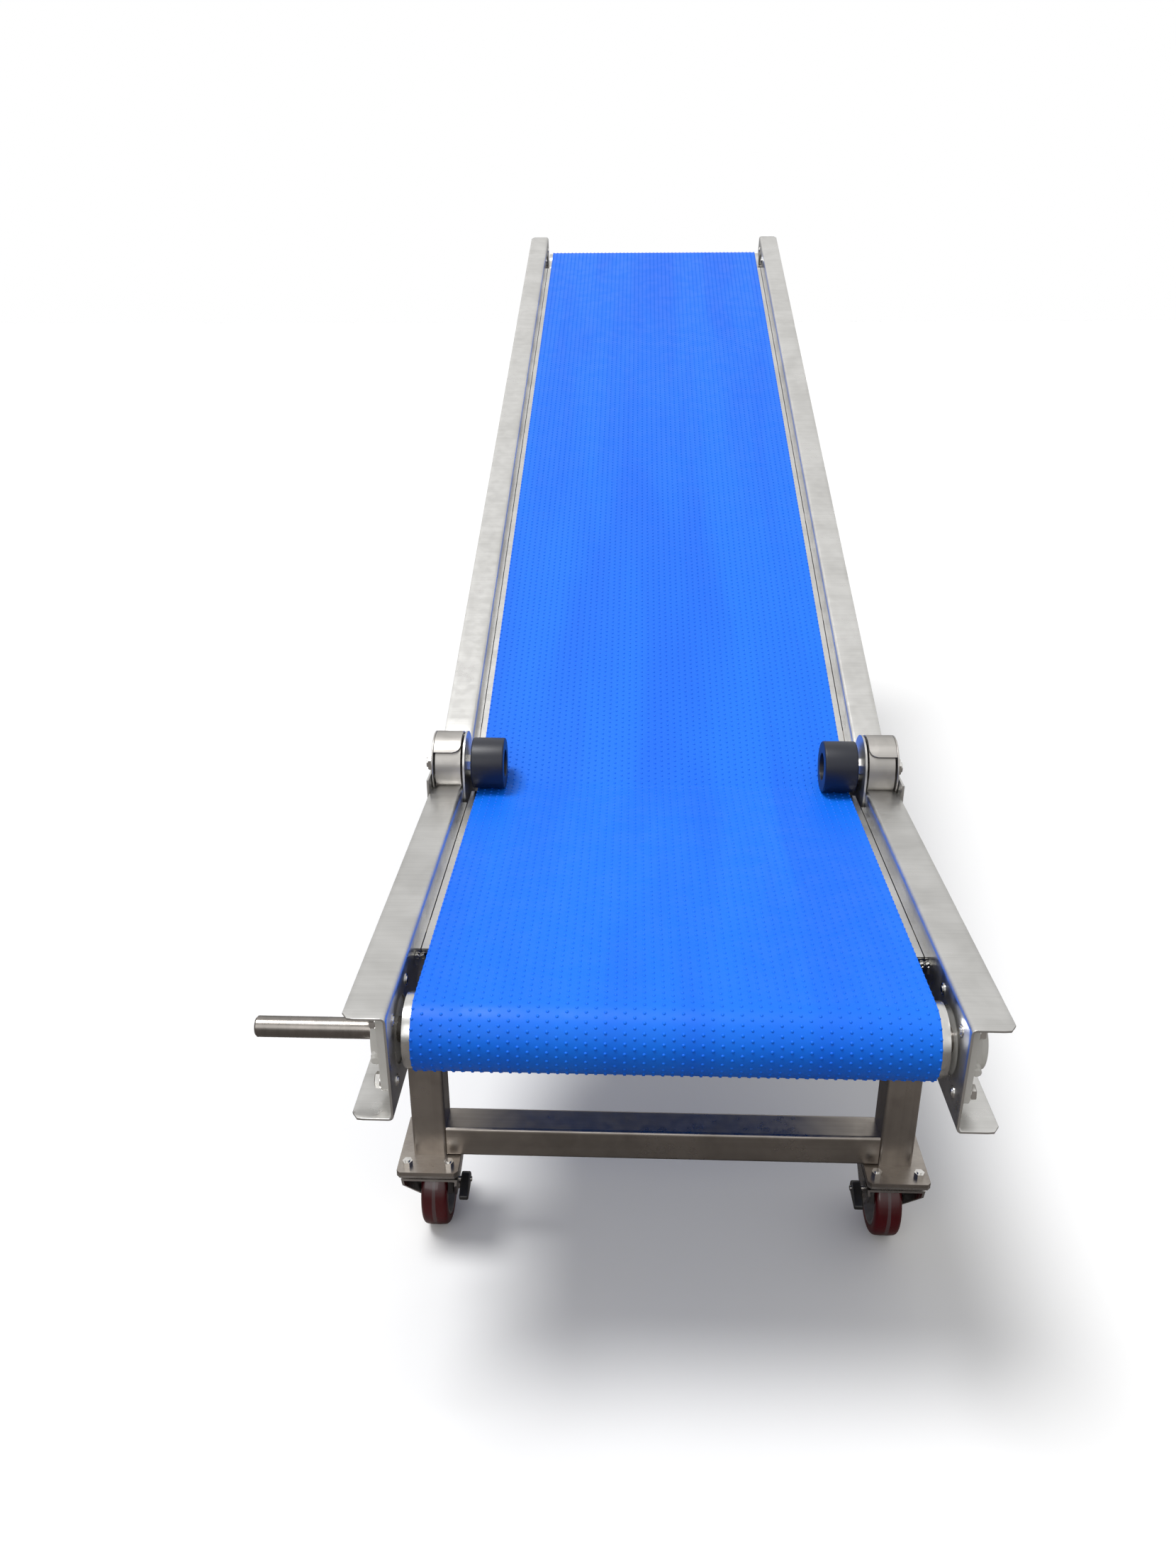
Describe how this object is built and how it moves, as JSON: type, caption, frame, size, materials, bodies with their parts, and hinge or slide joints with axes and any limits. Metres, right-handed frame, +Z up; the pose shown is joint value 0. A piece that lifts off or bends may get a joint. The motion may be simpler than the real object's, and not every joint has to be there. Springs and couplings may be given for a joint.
{
  "type": "belt conveyor section",
  "caption": "Mobile knuckle belt conveyor section: level infeed and inclined run in stainless channels, dotted belt, hold-down wheels at the knee, swivel caster stands.",
  "frame": {"origin": "on the floor, on the centre plane, straight below the axis of the front drum", "axes": "+Z up, +Y along the belt from the level infeed end up the incline, +X to the right when looking along +Y"},
  "size_m": [0.888, 2.8691, 1.4733],
  "materials": {
    "steel": "cold-rolled stainless sheet, softly polished, with cloudy marks",
    "leg_steel": "brushed stainless tube",
    "drum_steel": "turned stainless",
    "fastener": "bright stainless fasteners",
    "belt": "blue food-grade belt with a small raised dot pattern",
    "bearing_plastic": "white moulded thermoplastic",
    "roller_plastic": "grey plastic tube",
    "wheel_black": "black satin plastic",
    "caster_steel": "pressed stainless, polished",
    "caster_wheel": "dark red polyurethane tread on a grey core"
  },
  "bodies": {
    "lower_frame": {"lower_channel_left": "steel", "lower_channel_right": "steel", "lower_slider_bed": "steel", "lower_bed_rails": "steel", "lower_cross_members": "steel", "lower_belt": "belt", "knee_belt": "belt", "front_bearing_left": "bearing_plastic", "front_bearing_right": "bearing_plastic", "front_bearing_cap": "bearing_plastic", "front_bearing_bolts": "fastener", "knee_plates": "steel", "knee_hubs": "steel", "knee_clamp_bars": "steel", "knee_axles": "fastener", "front_leg_left": "leg_steel", "front_leg_right": "leg_steel", "front_leg_crossbar": "leg_steel", "front_stand_bolts": "fastener", "front_caster_plates": "caster_steel"},
    "upper_frame": {"upper_channel_left": "steel", "upper_channel_right": "steel", "upper_slider_bed": "steel", "upper_bed_rails": "steel", "upper_cross_members": "steel", "upper_belt": "belt", "knee_cover_left": "steel", "knee_cover_right": "steel", "return_roller_hangers": "steel", "rear_pivot_brackets": "leg_steel", "rear_pivot_pins": "fastener"},
    "drive_drum": {"drive_drum": "drum_steel", "drive_shaft": "drum_steel", "drive_bearing_rings": "drum_steel"},
    "take_up": {"tail_bearings": "bearing_plastic", "tail_bearing_caps": "bearing_plastic", "tail_bearing_bolts": "fastener"},
    "tail_drum": {"tail_drum": "drum_steel", "tail_shaft": "drum_steel"},
    "knee_return_roller": {"knee_return_roller": "roller_plastic"},
    "upper_return_roller": {"upper_return_roller": "roller_plastic"},
    "hold_down_wheel_left": {"hold_down_wheel_left": "wheel_black"},
    "hold_down_wheel_right": {"hold_down_wheel_right": "wheel_black"},
    "rear_sleeves": {"rear_sleeve_left": "leg_steel", "rear_sleeve_right": "leg_steel", "rear_sleeve_crossbar": "leg_steel", "rear_clamp_screws": "wheel_black"},
    "rear_posts": {"rear_post_frame": "leg_steel", "rear_caster_bolts": "fastener", "rear_caster_plates": "caster_steel"},
    "fork_front_left": {"caster_fork_front_left": "caster_steel"},
    "wheel_front_left": {"caster_wheel_front_left": "caster_wheel"},
    "pedal_front_left": {"brake_pedal_front_left": "caster_steel"},
    "fork_front_right": {"caster_fork_front_right": "caster_steel"},
    "wheel_front_right": {"caster_wheel_front_right": "caster_wheel"},
    "pedal_front_right": {"brake_pedal_front_right": "caster_steel"},
    "fork_rear_left": {"caster_fork_rear_left": "caster_steel"},
    "wheel_rear_left": {"caster_wheel_rear_left": "caster_wheel"},
    "fork_rear_right": {"caster_fork_rear_right": "caster_steel"},
    "wheel_rear_right": {"caster_wheel_rear_right": "caster_wheel"}
  },
  "joints": [
    {"name": "knee", "type": "hinge", "parent": "lower_frame", "child": "upper_frame", "pos_m": [0, 0.603, 0.6413], "axis": [1, 0, 0], "range_deg": [-8, 6], "deforming": ["knee_belt"]},
    {"name": "drive_drum_spin", "type": "hinge", "parent": "lower_frame", "child": "drive_drum", "pos_m": [0, 0, 0.553], "axis": [1, 0, 0], "continuous": true},
    {"name": "take_up_slide", "type": "slide", "parent": "upper_frame", "child": "take_up", "axis": [0, 0.9285, 0.3714], "range_m": [-0.025, 0]},
    {"name": "tail_drum_spin", "type": "hinge", "parent": "take_up", "child": "tail_drum", "pos_m": [0, 2.69146, 1.38152], "axis": [1, 0, 0], "continuous": true},
    {"name": "knee_roller_spin", "type": "hinge", "parent": "lower_frame", "child": "knee_return_roller", "pos_m": [0, 0.62395, 0.5325], "axis": [1, 0, 0], "continuous": true},
    {"name": "upper_roller_spin", "type": "hinge", "parent": "upper_frame", "child": "upper_return_roller", "pos_m": [0, 1.75788, 0.93133], "axis": [1, 0, 0], "continuous": true},
    {"name": "hold_down_spin_left", "type": "hinge", "parent": "lower_frame", "child": "hold_down_wheel_left", "pos_m": [0, 0.603, 0.6413], "axis": [1, 0, 0], "continuous": true},
    {"name": "hold_down_spin_right", "type": "hinge", "parent": "lower_frame", "child": "hold_down_wheel_right", "pos_m": [0, 0.603, 0.6413], "axis": [1, 0, 0], "continuous": true},
    {"name": "rear_leg_tilt", "type": "hinge", "parent": "upper_frame", "child": "rear_sleeves", "pos_m": [0, 2.00363, 0.99009], "axis": [1, 0, 0], "range_deg": [-6, 8]},
    {"name": "rear_leg_slide", "type": "slide", "parent": "rear_sleeves", "child": "rear_posts", "axis": [0, 0, 1], "range_m": [-0.1472, 0.1961]},
    {"name": "swivel_front_left", "type": "hinge", "parent": "lower_frame", "child": "fork_front_left", "pos_m": [-0.343, 0.251, 0.158], "axis": [0, 0, 1], "continuous": true},
    {"name": "roll_front_left", "type": "hinge", "parent": "fork_front_left", "child": "wheel_front_left", "pos_m": [-0.343, 0.281, 0.0625], "axis": [1, 0, 0], "continuous": true},
    {"name": "brake_front_left", "type": "hinge", "parent": "fork_front_left", "child": "pedal_front_left", "pos_m": [-0.297, 0.255, 0.094], "axis": [1, 0, 0], "range_deg": [0, 18]},
    {"name": "swivel_front_right", "type": "hinge", "parent": "lower_frame", "child": "fork_front_right", "pos_m": [0.343, 0.251, 0.158], "axis": [0, 0, 1], "continuous": true},
    {"name": "roll_front_right", "type": "hinge", "parent": "fork_front_right", "child": "wheel_front_right", "pos_m": [0.343, 0.281, 0.0625], "axis": [1, 0, 0], "continuous": true},
    {"name": "brake_front_right", "type": "hinge", "parent": "fork_front_right", "child": "pedal_front_right", "pos_m": [0.297, 0.255, 0.094], "axis": [1, 0, 0], "range_deg": [0, 18]},
    {"name": "swivel_rear_left", "type": "hinge", "parent": "rear_posts", "child": "fork_rear_left", "pos_m": [-0.343, 2.00363, 0.158], "axis": [0, 0, 1], "continuous": true},
    {"name": "roll_rear_left", "type": "hinge", "parent": "fork_rear_left", "child": "wheel_rear_left", "pos_m": [-0.343, 2.03363, 0.0625], "axis": [1, 0, 0], "continuous": true},
    {"name": "swivel_rear_right", "type": "hinge", "parent": "rear_posts", "child": "fork_rear_right", "pos_m": [0.343, 2.00363, 0.158], "axis": [0, 0, 1], "continuous": true},
    {"name": "roll_rear_right", "type": "hinge", "parent": "fork_rear_right", "child": "wheel_rear_right", "pos_m": [0.343, 2.03363, 0.0625], "axis": [1, 0, 0], "continuous": true}
  ],
  "couplings": [
    {"joint": "tail_drum_spin", "follows": "drive_drum_spin", "ratio": 1},
    {"joint": "knee_roller_spin", "follows": "drive_drum_spin", "ratio": 1.8167},
    {"joint": "upper_roller_spin", "follows": "drive_drum_spin", "ratio": -1.8167},
    {"joint": "hold_down_spin_left", "follows": "drive_drum_spin", "ratio": -1.0831},
    {"joint": "hold_down_spin_right", "follows": "drive_drum_spin", "ratio": -1.0831},
    {"joint": "rear_leg_tilt", "follows": "knee", "ratio": -1},
    {"joint": "rear_leg_slide", "follows": "knee", "m_per_rad": -1.4006}
  ]
}
